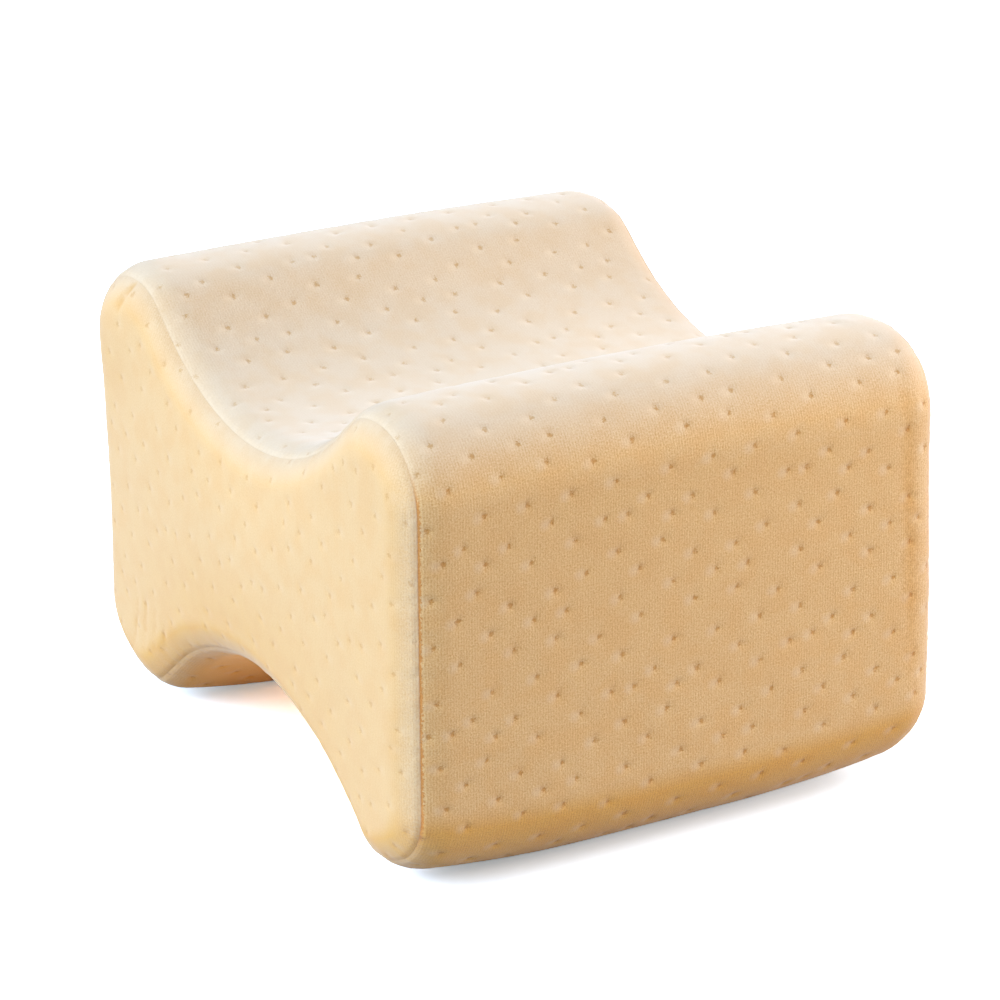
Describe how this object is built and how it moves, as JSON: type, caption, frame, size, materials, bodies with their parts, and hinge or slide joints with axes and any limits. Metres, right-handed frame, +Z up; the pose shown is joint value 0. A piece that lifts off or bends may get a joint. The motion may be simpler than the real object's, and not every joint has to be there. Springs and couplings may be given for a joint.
{
  "type": "knee pillow",
  "caption": "Contoured foam knee pillow of hourglass outline, with a shallow saddle above and an arch below, in a velour cover with sewn end panels.",
  "frame": {"origin": "bottom centre of the bounding box, on the surface that both feet rest on", "axes": "+X along the saddle, from the left end panel to the right one; +Y across both lobes, from the front face to the back face; +Z up"},
  "size_m": [0.2104, 0.239, 0.165],
  "materials": {
    "cover_velour": "soft knitted velour with embossed tufts"
  },
  "bodies": {
    "root": {"filled_body_with_band": "cover_velour", "end_panel_left": "cover_velour", "end_panel_right": "cover_velour"}
  },
  "joints": []
}
